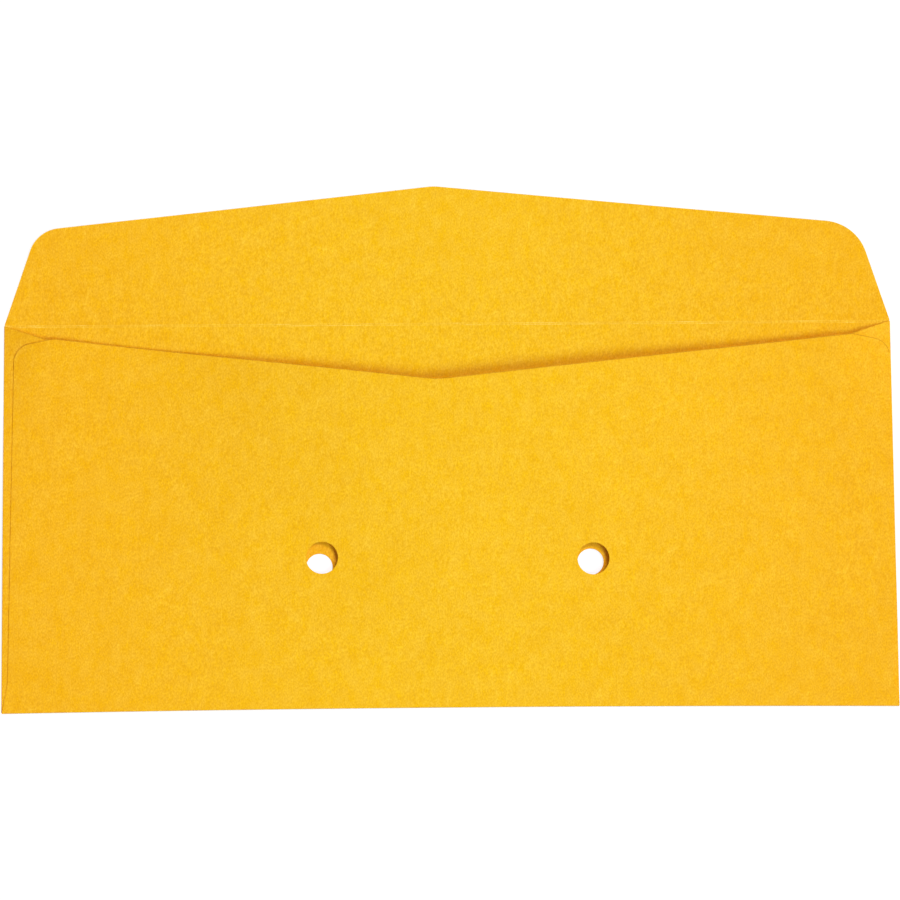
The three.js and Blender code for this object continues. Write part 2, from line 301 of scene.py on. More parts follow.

# %% [markdown]
# ## Where the paper was cut
#
# A die-cut edge shows a pale, fuzzy rim. Where an edge lies over other paper, at the throat, the back
# panel's top corners and the side flaps' inner edges, the rim is dark brown instead: a painted shadow line
# along the gap. A blank carries a point attribute, cut_edge, that is 1 where its outline has such a rim and
# falls to 0 within a third of a millimetre. The material reads it, so a rim follows its outline without an
# image. The holes are punched clean and have none.
#
# Where the fibre mat is thick the dye is deeper as well as darker, and a Gamma node driven by the tone does
# that better than a plain darkening. The gold is also darkened a little towards both ends, as painted shade
# where the light falls off. That is a slow ramp over the distance from the middle.

# %% The paper's colour
DEEP_GOLD = (0.934, 0.523, 0.0, 1)
PALE_GOLD = (0.948, 0.562, 0.022, 1)
CUT_PAPER = (0.955, 0.58, 0.02, 1)
# Painted shadow: the dark brown of a rim where an edge lies over other paper.
EDGE_SHADOW_BROWN = (0.64, 0.27, 0.005, 1)
DYE_DEPTH = 2.0
# Painted shade: the tint that darkens the gold towards both ends.
END_SHADE_TINT = (0.99, 0.885, 0.8, 1)
END_SHADE_START = 10 * MM
END_SHADE_END = 125 * MM
WHITE = (1, 1, 1, 1)
PAPER_ROUGHNESS = 0.82
PAPER_GLOSS = 0.2
RELIEF_STRENGTH = 0.25
RELIEF_DEPTH = 0.03 * MM


def tinted(tree, color, tone):
    """A colour made lighter or darker by a tone about 1."""
    return add_node(tree, "ShaderNodeVectorMath", {0: color, "Scale": tone}, operation="SCALE").outputs[0]


def blended(tree, factor, color_a, color_b):
    """The first colour where the factor is 0 and the second where it is 1."""
    mix = add_node(tree, "ShaderNodeMix", {0: factor}, data_type="RGBA")
    for socket, color in ((mix.inputs[6], color_a), (mix.inputs[7], color_b)):
        if isinstance(color, bpy.types.NodeSocket):
            tree.links.new(color, socket)
        else:
            socket.default_value = color
    return mix.outputs[2]


def ramp(tree, value, start, end):
    """0 before start and 1 after end, with a smooth step between."""
    feeds = {"Value": value, "From Min": start, "From Max": end}
    return add_node(tree, "ShaderNodeMapRange", feeds, interpolation_type="SMOOTHSTEP").outputs["Result"]


def shaded_towards_ends(tree, place, color):
    """The paper's colour, darkened a little towards both ends as painted shade."""
    from_middle = arithmetic(tree, "ABSOLUTE", parts(tree, place)[0])
    end_shade = ramp(tree, from_middle, END_SHADE_START, END_SHADE_END)
    return multiplied(tree, color, blended(tree, end_shade, WHITE, END_SHADE_TINT))


def paper_material(name, rim, decorate=None):
    """Kraft paper with its rim's colour, pale or a painted shadow line. decorate(tree, coordinates, colour)
    may print it, wear it or paint shade on it.
    """
    material = bpy.data.materials.new(name)
    material.use_nodes = True
    tree = material.node_tree
    shader = tree.nodes["Principled BSDF"]
    place = add_node(tree, "ShaderNodeTexCoord").outputs["Object"]
    fibres = add_node(tree, "ShaderNodeGroup", {}, node_tree=kraft_fibres)
    tree.links.new(place, fibres.inputs["Vector"])
    cut_edge = add_node(tree, "ShaderNodeAttribute", attribute_name="cut_edge").outputs["Fac"]
    gold = blended(tree, fibres.outputs["Dye"], DEEP_GOLD, PALE_GOLD)
    color = blended(tree, cut_edge, shaded_towards_ends(tree, place, gold), rim)
    if decorate:
        color = decorate(tree, place, color)
    depth = arithmetic(tree, "MULTIPLY_ADD", fibres.outputs["Tone"], -DYE_DEPTH, 1 + DYE_DEPTH)
    deepened = add_node(tree, "ShaderNodeGamma", {"Color": color, "Gamma": depth}).outputs[0]
    tree.links.new(tinted(tree, deepened, fibres.outputs["Tone"]), shader.inputs["Base Color"])
    feeds = {"Height": fibres.outputs["Height"], "Strength": RELIEF_STRENGTH, "Distance": RELIEF_DEPTH}
    tree.links.new(add_node(tree, "ShaderNodeBump", feeds).outputs[0], shader.inputs["Normal"])
    shader.inputs["Roughness"].default_value = PAPER_ROUGHNESS
    shader.inputs["Specular IOR Level"].default_value = PAPER_GLOSS
    return material


gold_kraft = paper_material("gold_kraft", CUT_PAPER)
# Paper whose cut rim is painted dark brown, as the shadow line where an edge lies over other paper.
shadow_rimmed_kraft = paper_material("shadow_rimmed_kraft", EDGE_SHADOW_BROWN)
print("materials", gold_kraft.name, shadow_rimmed_kraft.name)

# %% [markdown]
# ## Cutting a blank
#
# A converter's die is a closed line of steel rule with rounded corners. Here it is a list of corners, each
# with its radius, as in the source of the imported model. A hole's punch is a plain ring.

# %% Outlines
ARC_STEP = 0.4 * MM


def rounded_outline(corners):
    """Points anticlockwise round a closed outline, whose corners (x, y, radius) are rounded by arcs."""
    points = []
    for i, (x, y, radius) in enumerate(corners):
        at = Vector((x, y))
        back = (Vector(corners[i - 1][:2]) - at).normalized()
        ahead = (Vector(corners[(i + 1) % len(corners)][:2]) - at).normalized()
        if radius == 0:
            points.append(at)
            continue
        half_angle = back.angle(ahead) / 2
        centre = at + (back + ahead).normalized() * radius / sin(half_angle)
        start = at + back * radius / tan(half_angle) - centre
        sweep = pi - 2 * half_angle
        direction = 1 if back.cross(ahead) < 0 else -1
        steps = max(3, ceil(radius * sweep / ARC_STEP))
        for k in range(steps + 1):
            points.append(centre + Matrix.Rotation(direction * sweep * k / steps, 2) @ start)
    return points


def viewing_holes(radius, x, height, turn):
    """A pair of round holes, clockwise, so that the paper lies to their lines' left as on an outline."""
    half = Vector((cos(turn), sin(turn))) * HOLE_SPACING / 2
    middle = Vector((x, height - FOLD_Y))
    steps = 2 * ceil(pi * radius / ARC_STEP)
    ring = [radius * Vector((cos(2 * pi * k / steps), -sin(2 * pi * k / steps))) for k in range(steps)]
    return [[middle - half + point for point in ring], [middle + half + point for point in ring]]


def moved_inwards(points, distance):
    """The same outline, moved into the paper."""
    moved = []
    for i, at in enumerate(points):
        before = (at - points[i - 1]).normalized()
        after = (points[(i + 1) % len(points)] - at).normalized()
        side = Vector((-before.y - after.y, before.x + after.x)) / (1 + before.dot(after))
        moved.append(at + side * distance)
    return moved


print("a back hole's ring has", len(viewing_holes(**BACK_HOLES)[0]), "points")

# %% [markdown]
# The blank could be filled with one big face, but paper has to bend, so it gets a fine grid of cuts. A narrow
# band beside the rim carries the cut_edge attribute.


# %% Blanks
EDGE_BAND = 0.3 * MM
GRID = 2.5 * MM
SAME_POINT = 0.001 * MM


def cut_blank(name, corners, level, shows_rim=None, holes=()):
    """A flat sheet at a level. shows_rim(point) says where its outline has a rim of its own colour."""
    sheet = bmesh.new()
    cut_edge = sheet.verts.layers.float.new("cut_edge")
    inner_edges = []
    outlines = [rounded_outline(corners), *holes]
    for number, points in enumerate(outlines):
        rim = [sheet.verts.new((*p, level)) for p in points]
        ring = [sheet.verts.new((*p, level)) for p in moved_inwards(points, EDGE_BAND)]
        for vertex in rim:
            vertex[cut_edge] = 1.0 if number == 0 and shows_rim and shows_rim(vertex.co) else 0.0
        for i in range(len(rim)):
            j = (i + 1) % len(rim)
            sheet.faces.new((rim[i], rim[j], ring[j], ring[i]))
            inner_edges.append(sheet.edges.get((ring[i], ring[j])))
    bmesh.ops.triangle_fill(sheet, use_beauty=True, use_dissolve=False, edges=inner_edges, normal=(0, 0, 1))
    score_grid(sheet)
    bmesh.ops.recalc_face_normals(sheet, faces=sheet.faces)
    if sheet.faces[0].normal.z < 0:
        bmesh.ops.reverse_faces(sheet, faces=sheet.faces)
    return to_object(name, sheet)


def score_grid(sheet):
    """Cuts the sheet's faces along a square grid, so that it can bend."""
    for axis in (0, 1):
        normal = Vector((1 - axis, axis, 0))
        low = min(v.co[axis] for v in sheet.verts)
        high = max(v.co[axis] for v in sheet.verts)
        for k in range(ceil(low / GRID), ceil(high / GRID)):
            everything = sheet.verts[:] + sheet.edges[:] + sheet.faces[:]
            plane = {"plane_co": normal * k * GRID, "plane_no": normal}
            bmesh.ops.bisect_plane(sheet, geom=everything, dist=SAME_POINT, **plane)


def to_object(name, mesh):
    """The finished mesh as an object of the scene, at the origin."""
    data = bpy.data.meshes.new(name)
    mesh.to_mesh(data)
    mesh.free()
    piece = bpy.data.objects.new(name, data)
    bpy.context.scene.collection.objects.link(piece)
    return piece


# %% [markdown]
# ## Bending the paper
#
# Four things bend this envelope. The back panel gapes at the throat. The side seams stand up a little
# towards the throat, the right one more, turning about their folds: side flap, glue and back panel
# together. The gape draws the middle of the bottom edge up, so that edge bows. And paper never lies quite
# flat, so a slow wave runs through the whole stack.
#
# Moving the vertices in Python would do, but a Geometry Nodes group says the rule once, with named inputs,
# and every sheet and fold can use it. All layers read the same rule at the same x and y, so they move
# together. Only the back panel has a gape, and its seams stand up to a tenth of a millimetre higher.

# %% The rule of the bend
LIFT_INPUTS = {
    "Gape Height": 0.0,
    "Gape Crest": -4 * MM,
    "Gape Left Reach": 89 * MM,
    "Gape Right Reach": 108 * MM,
    "Gape Left Fullness": 1.05,
    "Gape Right Fullness": 1.4,
    "Gape Start": PANEL_BOTTOM + 2.25 * MM,
    "Throat Line": FOLD_Y - THROAT_DEPTH,
    "Gape Rise": 1.3,
    "Gape Left Rise": 1.0,
    "Left Seam Lift": 0.0,
    "Right Seam Lift": 0.0,
    "Left Seam X": 112 * MM,
    "Right Seam X": 106 * MM,
    "Left Seam Fade": 45 * MM,
    "Right Seam Fade": 90 * MM,
    "Seam Start": 8 * MM,
    "Seam Height": 41 * MM,
    "Wave Height": 0.3 * MM,
    "Wave Length": 48 * MM,
    "Fold Line": FOLD_Y,
    "Fold Calm": 26 * MM,
    "Bow": 0.65 * MM,
    "Bow Height": 34 * MM,
    "Half Width": HALF_WIDTH,
}
SEAM_MOST = 1.1
SEAM_RISE = 2.0
WAVE_TROUGH = 0.3
WAVE_CREST = 0.7


def gape_height(tree, given, x, y):
    """A crest that falls away to both sides and grows towards the throat, later at the left."""
    to_right = arithmetic(tree, "SUBTRACT", x, given["Gape Crest"])
    to_left = arithmetic(tree, "MULTIPLY", to_right, -1.0)
    left_share = arithmetic(tree, "DIVIDE", positive(tree, to_left), given["Gape Left Reach"])
    right_share = arithmetic(tree, "DIVIDE", positive(tree, to_right), given["Gape Right Reach"])
    left = arithmetic(tree, "POWER", left_share, given["Gape Left Fullness"])
    right = arithmetic(tree, "POWER", right_share, given["Gape Right Fullness"])
    share = arithmetic(tree, "MINIMUM", arithmetic(tree, "ADD", left, right), 1.0)
    crest = arithmetic(tree, "COSINE", arithmetic(tree, "MULTIPLY", share, pi / 2))
    across = arithmetic(tree, "MULTIPLY", crest, crest)
    from_start = arithmetic(tree, "SUBTRACT", y, given["Gape Start"])
    throat = arithmetic(tree, "SUBTRACT", given["Throat Line"], given["Gape Start"])
    up = positive(tree, arithmetic(tree, "DIVIDE", from_start, throat))
    rise = arithmetic(tree, "MULTIPLY_ADD", left, given["Gape Left Rise"], given["Gape Rise"])
    grown = arithmetic(tree, "POWER", up, rise)
    return arithmetic(tree, "MULTIPLY", arithmetic(tree, "MULTIPLY", across, grown), given["Gape Height"])


def seam_lift(tree, given, x, y, name):
    """A side seam, Left or Right, stands up towards the throat, turning about its side fold."""
    out = arithmetic(tree, "MULTIPLY", x, -1.0 if name == "Left" else 1.0)
    seam_x = given[f"{name} Seam X"]
    to_fold = arithmetic(tree, "SUBTRACT", given["Half Width"], out)
    arm = arithmetic(tree, "SUBTRACT", given["Half Width"], seam_x)
    turned = arithmetic(tree, "MINIMUM", arithmetic(tree, "DIVIDE", to_fold, arm), 1.0)
    inwards = arithmetic(tree, "SUBTRACT", seam_x, out)
    faded = arithmetic(tree, "SUBTRACT", 1.0, ramp(tree, inwards, 0.0, given[f"{name} Seam Fade"]))
    from_start = arithmetic(tree, "SUBTRACT", y, given["Seam Start"])
    up = arithmetic(tree, "DIVIDE", positive(tree, from_start), given["Seam Height"])
    risen = arithmetic(tree, "POWER", arithmetic(tree, "MINIMUM", up, SEAM_MOST), SEAM_RISE)
    share = arithmetic(tree, "MULTIPLY", arithmetic(tree, "MULTIPLY", turned, faded), risen)
    return arithmetic(tree, "MULTIPLY", share, given[f"{name} Seam Lift"])


def paper_wave(tree, given, x, y):
    """A slow wave that dies out at the flap's fold, where the crease holds the paper straight."""
    here = add_node(tree, "ShaderNodeCombineXYZ", {0: x, 1: y}).outputs[0]
    frequency = arithmetic(tree, "DIVIDE", 1.0, given["Wave Length"])
    noise = add_node(tree, "ShaderNodeTexNoise", {"Vector": here, "Scale": frequency, "Detail": 1.0})
    swell = ramp(tree, noise.outputs["Fac"], WAVE_TROUGH, WAVE_CREST)
    from_fold = arithmetic(tree, "ABSOLUTE", arithmetic(tree, "SUBTRACT", y, given["Fold Line"]))
    free = ramp(tree, from_fold, 0.0, given["Fold Calm"])
    return arithmetic(tree, "MULTIPLY", arithmetic(tree, "MULTIPLY", swell, free), given["Wave Height"])


def bottom_bow(tree, given, x, y):
    """The gape pulls the middle of the bottom fold up a little, which bows the bottom edge."""
    share = arithmetic(tree, "DIVIDE", x, given["Half Width"])
    middle = arithmetic(tree, "SUBTRACT", 1.0, arithmetic(tree, "MULTIPLY", share, share))
    height = arithmetic(tree, "SUBTRACT", y, PANEL_BOTTOM)
    low = arithmetic(tree, "SUBTRACT", 1.0, ramp(tree, height, 0.0, given["Bow Height"]))
    return arithmetic(tree, "MULTIPLY", arithmetic(tree, "MULTIPLY", middle, low), given["Bow"])


def make_paper_lift():
    """The group: how far the bend moves each point of the paper."""
    inputs = {name: (FLOAT, value) for name, value in LIFT_INPUTS.items()}
    tree, given, result = new_tree("paper_lift", "GeometryNodeTree", inputs, {"Offset": VECTOR})
    x, y = parts(tree, add_node(tree, "GeometryNodeInputPosition").outputs[0])[:2]
    lifts = [
        gape_height(tree, given, x, y),
        seam_lift(tree, given, x, y, "Left"),
        seam_lift(tree, given, x, y, "Right"),
        paper_wave(tree, given, x, y),
    ]
    total = lifts[0]
    for lift in lifts[1:]:
        total = arithmetic(tree, "ADD", total, lift)
    offset = add_node(tree, "ShaderNodeCombineXYZ", {1: bottom_bow(tree, given, x, y), 2: total})
    tree.links.new(offset.outputs[0], result["Offset"])
    return tree


paper_lift = make_paper_lift()
print("the bend has", len(LIFT_INPUTS), "named inputs")

# %% [markdown]
# ## From a flat blank to a bent sheet
#
# The tree lifts the blank, then gives it the paper's thickness straight up: Extrude Mesh raises a copy and
# makes the walls, the flipped original closes the underside, and Merge by Distance joins the two. A folded
# strip already has its thickness, so there the switch leaves that step out.


# %% The bent sheet
FACING_DOWN = -0.5


def thickened(tree, sheet, thickness):
    """The sheet as a closed solid: a raised copy, walls, and the original as the underside."""
    rise = add_node(tree, "ShaderNodeCombineXYZ", {2: thickness}).outputs[0]
    feeds = {"Mesh": sheet, "Offset": rise, "Offset Scale": 1.0, "Individual": False}
    raised = add_node(tree, "GeometryNodeExtrudeMesh", feeds).outputs["Mesh"]
    underside = add_node(tree, "GeometryNodeFlipFaces", {"Mesh": sheet}).outputs[0]
    both = add_node(tree, "GeometryNodeJoinGeometry")
    tree.links.new(raised, both.inputs[0])
    tree.links.new(underside, both.inputs[0])
    feeds = {"Geometry": both.outputs[0], "Distance": SAME_POINT}
    return add_node(tree, "GeometryNodeMergeByDistance", feeds).outputs[0]


def painted(tree, sheet, material, underside_material):
    """One material on the faces that look up or out, and another on those that look down."""
    feeds = {"Geometry": sheet, "Material": material}
    covered = add_node(tree, "GeometryNodeSetMaterial", feeds).outputs[0]
    upwards = parts(tree, add_node(tree, "GeometryNodeInputNormal").outputs[0])[2]
    feeds = {0: upwards, 1: FACING_DOWN}
    faces_down = add_node(tree, "FunctionNodeCompare", feeds, data_type="FLOAT", operation="LESS_THAN")
    feeds = {"Geometry": covered, "Selection": faces_down.outputs[0], "Material": underside_material}
    return add_node(tree, "GeometryNodeSetMaterial", feeds).outputs[0]


def make_bent_paper():
    """The tree: lifts a blank, gives it its thickness and sets the materials of its two faces."""
    inputs = {
        "Geometry": (GEOMETRY, None),
        "Thickness": (FLOAT, PAPER),
        "Is Blank": ("NodeSocketBool", True),
        "Material": (MATERIAL, None),
        "Underside Material": (MATERIAL, None),
    }
    inputs.update({name: (FLOAT, value) for name, value in LIFT_INPUTS.items()})
    tree, given, result = new_tree("bent_paper", "GeometryNodeTree", inputs, {"Geometry": GEOMETRY})
    lift = add_node(tree, "GeometryNodeGroup", {}, node_tree=paper_lift)
    for name in LIFT_INPUTS:
        tree.links.new(given[name], lift.inputs[name])
    feeds = {"Geometry": given["Geometry"], "Offset": lift.outputs["Offset"]}
    bent = add_node(tree, "GeometryNodeSetPosition", feeds).outputs[0]
    closed = thickened(tree, bent, given["Thickness"])
    feeds = {"Switch": given["Is Blank"], "False": bent, "True": closed}
    choice = add_node(tree, "GeometryNodeSwitch", feeds, input_type="GEOMETRY").outputs[0]
    real = add_node(tree, "GeometryNodeRealizeInstances", {"Geometry": choice}).outputs[0]
    finished = painted(tree, real, given["Material"], given["Underside Material"])
    tree.links.new(finished, result["Geometry"])
    return tree


bent_paper = make_bent_paper()
print("tree", bent_paper.name, "has", len(bent_paper.nodes), "nodes")

# %% [markdown]
# A modifier runs that tree on one piece, and its result is kept as a plain mesh. Then the piece takes the
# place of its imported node. Every piece but the flap's crease is finished this way.

# %% Bending a piece and keeping it
SHARP_ANGLE = radians(40)


def bend(piece, **values):
    """Bends a blank or a strip by the bent_paper tree, and keeps the result as its plain mesh."""
    values.setdefault("Material", gold_kraft)
    values.setdefault("Underside_Material", values["Material"])
    modifier = piece.modifiers.new("bend", "NODES")
    modifier.node_group = bent_paper
    by_name = {item.name: item for item in bent_paper.interface.items_tree if item.in_out == "INPUT"}
    for name, value in values.items():
        modifier[by_name[name.replace("_", " ")].identifier] = value
    evaluated = piece.evaluated_get(bpy.context.evaluated_depsgraph_get())
    mesh = bpy.data.meshes.new_from_object(evaluated)
    piece.modifiers.remove(modifier)
    piece.data = mesh
    mesh.name = piece.name
    mesh.shade_smooth()
    mesh.set_sharp_from_angle(angle=SHARP_ANGLE)
    print(piece.name, len(mesh.polygons), "faces")
    return piece


def keep(piece, node, body):
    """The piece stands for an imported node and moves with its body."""
    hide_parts(node)
    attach(piece, body)


# %% [markdown]
# ## Front panel
#
# The front panel is the address side, face down on the table. Interoffice envelopes are printed there with
# an open routing form, so that one envelope goes round many times. The photograph doesn't show that side,
# so only the ruling that all such forms share is drawn, with no lettering. It is a mask worked out from
# object coordinates.

# %% The ruled form
FORM_COLUMN = 55 * MM
FORM_COLUMNS = 4
FORM_ROW = 10.5 * MM
FORM_ROWS = 8
RULE_WIDTH = 0.35 * MM
FORM_INK = (0.035, 0.016, 0.006, 1)
INK_GRAIN = 0.8 * MM
INK_COVER = 1.15
INK_MOST = 0.92


def ruled_form(tree, place, color):
    """Prints rows and columns of thin lines over the paper's colour."""
    corner_x = -FORM_COLUMNS * FORM_COLUMN / 2
    corner_y = (PANEL_BOTTOM + FOLD_Y) / 2 - FORM_ROWS * FORM_ROW / 2
    inside = None
    lines = None
    x, y = parts(tree, place)[:2]
    rulings = ((x, corner_x, FORM_COLUMN, FORM_COLUMNS), (y, corner_y, FORM_ROW, FORM_ROWS))
    for across, corner, pitch, count in rulings:
        along = arithmetic(tree, "SUBTRACT", across, corner)
        off_line = arithmetic(tree, "PINGPONG", along, pitch / 2)
        line = arithmetic(tree, "LESS_THAN", off_line, RULE_WIDTH / 2)
        middle = arithmetic(tree, "ABSOLUTE", arithmetic(tree, "SUBTRACT", along, pitch * count / 2))
        within = arithmetic(tree, "LESS_THAN", middle, (pitch * count + RULE_WIDTH) / 2)
        lines = line if lines is None else arithmetic(tree, "MAXIMUM", lines, line)
        inside = within if inside is None else arithmetic(tree, "MULTIPLY", inside, within)
    mask = arithmetic(tree, "MULTIPLY", lines, inside)
    worn = arithmetic(tree, "ADD", centred_noise(tree, place, 1 / INK_GRAIN, 2.0), INK_COVER)
    ink = arithmetic(tree, "MINIMUM", arithmetic(tree, "MULTIPLY", mask, worn), INK_MOST)
    return blended(tree, ink, color, FORM_INK)


printed_kraft = paper_material("printed_kraft", CUT_PAPER, ruled_form)
print("the form has", FORM_COLUMNS, "columns and", FORM_ROWS, "rows")

# %% [markdown]
# ## The paper inside the pocket
#
# Deep in the pocket the front panel's inner face is painted a deeper orange: painted shade, for the warm
# shadow that shows of it through the viewing holes. A slow ramp below the throat does that on the panel's
# inner face, so that no step shows.

# %% Painted shade in the pocket
# Painted shade in the pocket: a deeper orange below the throat, fading out upwards.
POCKET_SHADE_ENDS_ABOVE = 30 * MM
POCKET_SHADE_FULL_BELOW = 12 * MM
POCKET_SHADE_TINT = (1.0, 0.85, 0.8, 1)


def pocket_shade(tree, place, color):
    """Painted shade: deepens the paper's colour from the throat down."""
    faded = ramp(tree, parts(tree, place)[1], POCKET_SHADE_FULL_BELOW, POCKET_SHADE_ENDS_ABOVE)
    return multiplied(tree, color, blended(tree, faded, POCKET_SHADE_TINT, WHITE))


pocket_shaded_kraft = paper_material("pocket_shaded_kraft", CUT_PAPER, pocket_shade)
print("materials", printed_kraft.name, pocket_shaded_kraft.name)

# %% [markdown]
# The panel itself is a plain rectangle with two holes. Its top face, inside the pocket, has the painted
# pocket shade, and its underside the form. Its folds start at its edges, so none of them shows a cut rim.

# %% The front panel
front_corners = [
    (-PANEL_HALF_WIDTH, PANEL_BOTTOM, 0),
    (PANEL_HALF_WIDTH, PANEL_BOTTOM, 0),
    (PANEL_HALF_WIDTH, front_high.y, 0),
    (-PANEL_HALF_WIDTH, front_high.y, 0),
]
front_holes = viewing_holes(**FRONT_HOLES)
front_panel = cut_blank("address_side_panel", front_corners, front_low.z, holes=front_holes)
bend(front_panel, Material=pocket_shaded_kraft, Underside_Material=printed_kraft)
keep(front_panel, "front_panel", "envelope")

# %% [markdown]
# ## Side flaps
#
# A narrow flap at each side is folded in over the front panel. Its ends slope, and its inner corners are
# rounded so that letters don't catch on them. Only the top ends show, as the slanting lines in the throat's
# corners. One function makes both, mirrored by its side. The right seam stands up more, because the
# photograph shows more shadow there.

# %% The side flaps
SEAM_LIFTS = {"Left_Seam_Lift": 1.1 * MM, "Right_Seam_Lift": 1.95 * MM}


def is_inner_edge(point):
    """All of a side flap's outline but the line along its fold."""
    return abs(point.x) < PANEL_HALF_WIDTH - EDGE_BAND


def side_flap(side):
    """The turned-in flap at the left, -1, or at the right, 1."""
    reach = side_high.x - side_low.x
    inner = side * (PANEL_HALF_WIDTH - reach)
    outer = side * PANEL_HALF_WIDTH
    corners = [
        (outer, side_low.y, 0),
        (outer, side_high.y, 0),
        (inner, side_high.y - reach * tan(SIDE_FLAP_TOP_SLOPE), SIDE_FLAP_CORNER_RADIUS),
        (inner, side_low.y + reach * tan(SIDE_FLAP_BOTTOM_SLOPE), SIDE_FLAP_CORNER_RADIUS),
    ]
    if side < 0:
        corners.reverse()
    name = "left" if side < 0 else "right"
    flap = cut_blank(f"{name}_turned_in_flap", corners, SIDE_FLAP_LEVEL, is_inner_edge)
    # Its inner edges get a dark rim, a painted shadow line over the front panel.
    bend(flap, Material=shadow_rimmed_kraft, **SEAM_LIFTS)
    keep(flap, f"{name}_side_flap", "envelope")


for side in (-1, 1):
    side_flap(side)

# %% [markdown]
# ## Seam glue
#
# A thin film of dried glue joins each side flap to the back panel. It never shows, but it is what holds the
# pocket together, so it is there as its own piece, a little thinner than its gap so that no two faces lie
# in one plane.

# %% The seam glue
GLUE_AMBER = (0.69, 0.54, 0.25)
GLUE_CLEARANCE = 0.004 * MM
GLUE_STREAKS = 1.5 * MM
GLUE_TONE_CHANGE = 0.25
GLUE_ROUGHNESS = 0.45
GLUE_ROUGHNESS_CHANGE = 0.3


def glue_material():
    """Dried glue, a little streaky where the roller laid it on."""
    material = bpy.data.materials.new("seam_glue")
    material.use_nodes = True
    tree = material.node_tree
    shader = tree.nodes["Principled BSDF"]
    place = add_node(tree, "ShaderNodeTexCoord").outputs["Object"]
    streaks = centred_noise(tree, place, 1 / GLUE_STREAKS, 3.0)
    tone = arithmetic(tree, "MULTIPLY_ADD", streaks, GLUE_TONE_CHANGE, 1.0)
    tree.links.new(tinted(tree, GLUE_AMBER, tone), shader.inputs["Base Color"])
    roughness = arithmetic(tree, "MULTIPLY_ADD", streaks, GLUE_ROUGHNESS_CHANGE, GLUE_ROUGHNESS)
    tree.links.new(roughness, shader.inputs["Roughness"])
    return material


seam_glue = glue_material()


def glue_seam(name):
    """The film of one seam, left or right."""
    low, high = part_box(f"{name}_glue_seam")
    corners = [(low.x, low.y, 0), (high.x, low.y, 0), (high.x, high.y, 0), (low.x, high.y, 0)]
    film = cut_blank(f"{name}_glue_line", corners, low.z + GLUE_CLEARANCE)
    bend(film, Thickness=high.z - low.z - 2 * GLUE_CLEARANCE, Material=seam_glue, **SEAM_LIFTS)
    keep(film, f"{name}_glue_seam", "envelope")


for name in ("left", "right"):
    glue_seam(name)

# %% [markdown]
# ## Back panel
#
# The back panel is folded up from the bottom edge. Its outline flares out to the bottom fold, leans a
# little to the right, as a quickly folded sheet does, and ends in the shallow V of the throat. It alone
# takes the gape. Towards its side edges it comes down to the side flaps, at most a tenth of a millimetre
# off them, so only a fine line of shadow shows there. The throat and the top corners have a dark brown rim,
# a painted shadow line where the edge lies over other paper.

# %% The back panel
GAPE_HEIGHT = 4.1 * MM
BACK_SEAM_LIFTS = {"Left_Seam_Lift": 1.16 * MM, "Right_Seam_Lift": 2.05 * MM}
# How far below the flap's fold the back panel's rim has the painted shadow line.
SHADOW_RIM_DEPTH = 9 * MM


def back_corners():
    """The outline's corners, anticlockwise from the bottom fold's left end, with their radii."""
    flare_top = PANEL_BOTTOM + BACK_FLARE_HEIGHT
    shoulder_y = FOLD_Y - THROAT_SHOULDER_DROP

    def edge_at(side, y):
        margin = BACK_MARGINS[0] if side < 0 else BACK_MARGINS[1]
        return side * (HALF_WIDTH - margin) + y * tan(BACK_LEAN)

    def shoulder(side):
        return side * (HALF_WIDTH - (THROAT_INSETS[0] if side < 0 else THROAT_INSETS[1]))

    def top_corner(side):
        y = shoulder_y - abs(edge_at(side, shoulder_y) - shoulder(side)) * tan(BACK_CORNER_SLOPE)
        return (edge_at(side, y), y, BACK_CORNER_RADIUS)

    return [
        (-PANEL_HALF_WIDTH, PANEL_BOTTOM, 0),
        (PANEL_HALF_WIDTH, PANEL_BOTTOM, 0),
        (edge_at(1, flare_top), flare_top, BACK_CORNER_RADIUS),
        top_corner(1),
        (shoulder(1), shoulder_y, THROAT_SHOULDER_RADIUS),
        (THROAT_POINT_X, FOLD_Y - THROAT_DEPTH, THROAT_POINT_RADIUS),
        (shoulder(-1), shoulder_y, THROAT_SHOULDER_RADIUS),
        top_corner(-1),
        (edge_at(-1, flare_top), flare_top, BACK_CORNER_RADIUS),
    ]


def has_shadow_rim(point):
    """The throat's edge and the top corners, which get the painted shadow line. The rest of the outline has
    no rim.
    """
    return point.y > FOLD_Y - SHADOW_RIM_DEPTH or (point.y > 0 and abs(point.x) < HALF_WIDTH / 2)


back_holes = viewing_holes(**BACK_HOLES)
back_panel = cut_blank("gaping_back_panel", back_corners(), BACK_LEVEL, has_shadow_rim, back_holes)
bend(back_panel, Gape_Height=GAPE_HEIGHT, Material=shadow_rimmed_kraft, **BACK_SEAM_LIFTS)
keep(back_panel, "back_panel", "envelope")

# %% [markdown]
# ## Folds
#
# Where the paper turns through half a circle, it is a long strip with a round section. At the sides it is
# folded flat on itself, so the strip is solid, and along the bottom it wraps the side flaps and the glue,
# so it is open inside. Sweeping a section along a line of short steps lets the same bend rule carry it with
# the panels.

# %% The folds
FOLD_SEGMENTS = 10


def swept_strip(name, section, start, end):
    """A closed strip. Its section's points are (out, up), and out lies to the path's left."""
    strip = bmesh.new()
    path = Vector(end) - Vector(start)
    outwards = Vector((0, 0, 1)).cross(path.normalized())
    steps = ceil(path.length / GRID)
    rings = []
    for k in range(steps + 1):
        at = Vector(start) + path * k / steps
        rings.append([strip.verts.new(at + outwards * out + Vector((0, 0, up))) for out, up in section])
    for before, after in zip(rings, rings[1:]):
        for i in range(len(section)):
            j = (i + 1) % len(section)
            strip.faces.new((before[i], before[j], after[j], after[i]))
    strip.faces.new(rings[0])
    strip.faces.new(reversed(rings[-1]))
    bmesh.ops.recalc_face_normals(strip, faces=strip.faces)
    return to_object(name, strip)


